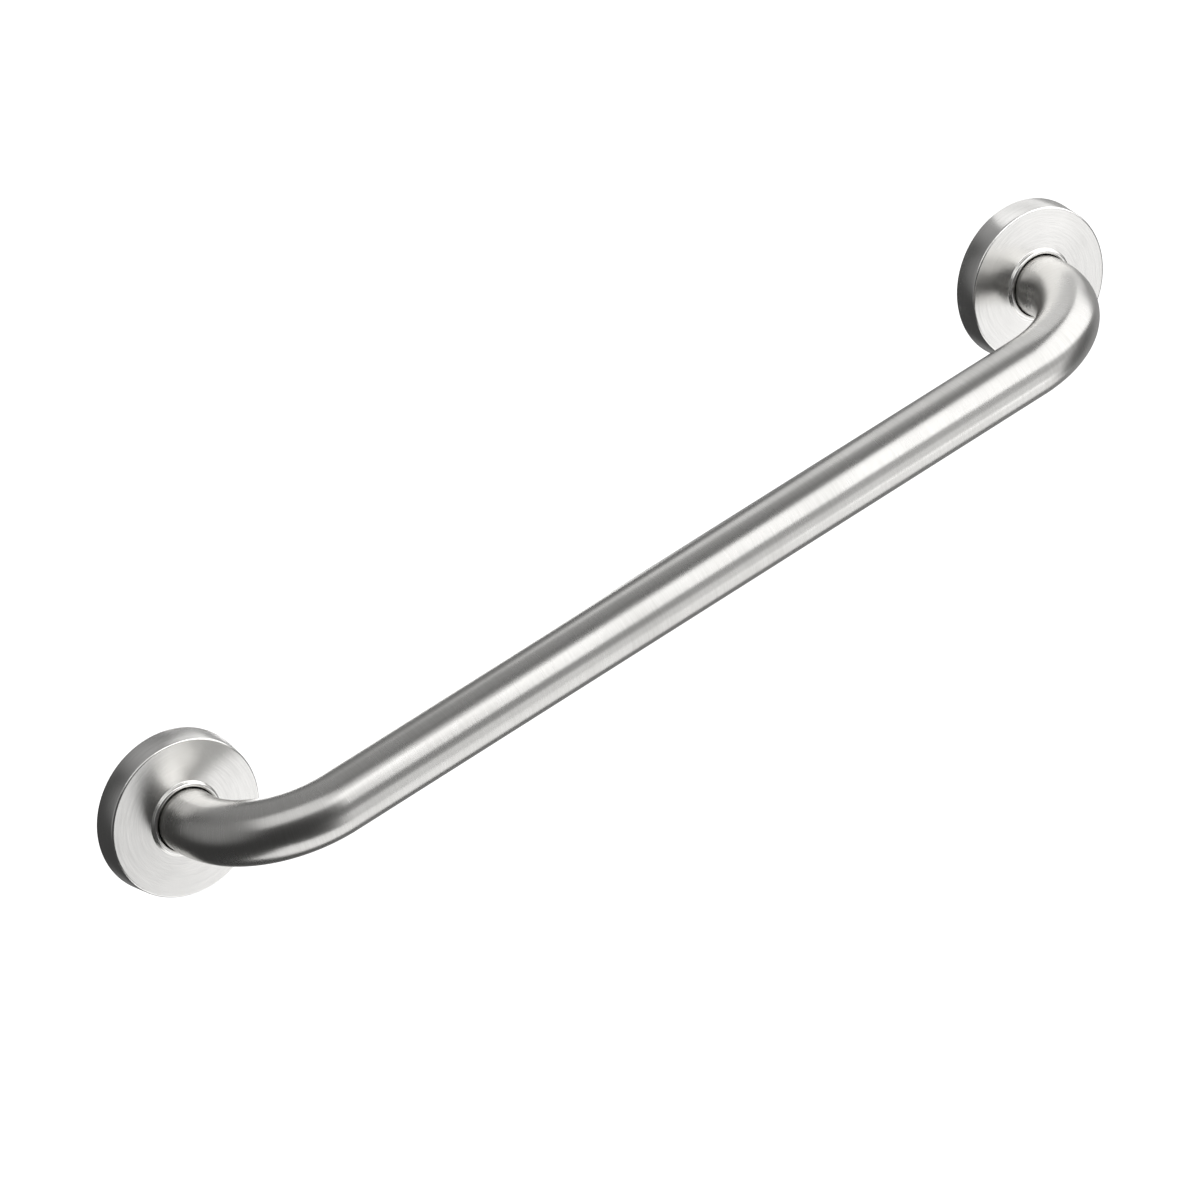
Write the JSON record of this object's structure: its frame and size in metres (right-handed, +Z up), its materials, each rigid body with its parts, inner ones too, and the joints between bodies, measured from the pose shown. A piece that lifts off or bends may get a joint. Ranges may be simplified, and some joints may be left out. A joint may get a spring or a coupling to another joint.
{
  "type": "grab rail",
  "caption": "Wall-mounted grab rail: one straight stainless tube bent back at both ends into screwed flanges, each hidden by a round push-on cover.",
  "frame": {"origin": "on the wall plane, midway between the two flange centres", "axes": "+X along the rail from the left flange to the right, +Y into the wall, +Z up; the rail stands off towards -Y"},
  "size_m": [0.579, 0.0995, 0.079],
  "materials": {
    "rail_tube": "satin, brushed along the tube",
    "cover_steel": "satin, brushed in circles",
    "flange_plate": "plain rolled plate",
    "weld_bead": "rippled weld, straw tint",
    "screw_steel": "bright",
    "washer_steel": "bright",
    "retaining_rubber": "smooth moulded",
    "bush_nylon": "fine moulded",
    "gasket_foam": "matt closed-cell sheet"
  },
  "bodies": {
    "rail": {"rail_tube": "rail_tube", "left_wall_flange": "flange_plate", "left_weld_bead": "weld_bead", "left_retaining_ring": "retaining_rubber", "left_gasket": "gasket_foam", "right_wall_flange": "flange_plate", "right_weld_bead": "weld_bead", "right_retaining_ring": "retaining_rubber", "right_gasket": "gasket_foam", "left_washer_1": "washer_steel", "left_washer_2": "washer_steel", "left_washer_3": "washer_steel", "left_screw_1": "screw_steel", "left_screw_2": "screw_steel", "left_screw_3": "screw_steel", "right_washer_1": "washer_steel", "right_washer_2": "washer_steel", "right_washer_3": "washer_steel", "right_screw_1": "screw_steel", "right_screw_2": "screw_steel", "right_screw_3": "screw_steel"},
    "left_bush_slider": {"left_bush": "bush_nylon"},
    "left_cover_shell": {"left_cover": "cover_steel"},
    "right_bush_slider": {"right_bush": "bush_nylon"},
    "right_cover_shell": {"right_cover": "cover_steel"}
  },
  "joints": [
    {"name": "left_cover_slide", "type": "slide", "parent": "rail", "child": "left_bush_slider", "axis": [0, -1, 0], "range_m": [0, 0.01]},
    {"name": "left_cover_spin", "type": "hinge", "parent": "left_bush_slider", "child": "left_cover_shell", "pos_m": [-0.25, -0.0125, 0], "axis": [0, -1, 0], "continuous": true},
    {"name": "right_cover_slide", "type": "slide", "parent": "rail", "child": "right_bush_slider", "axis": [0, -1, 0], "range_m": [0, 0.01]},
    {"name": "right_cover_spin", "type": "hinge", "parent": "right_bush_slider", "child": "right_cover_shell", "pos_m": [0.25, -0.0125, 0], "axis": [0, -1, 0], "continuous": true}
  ]
}
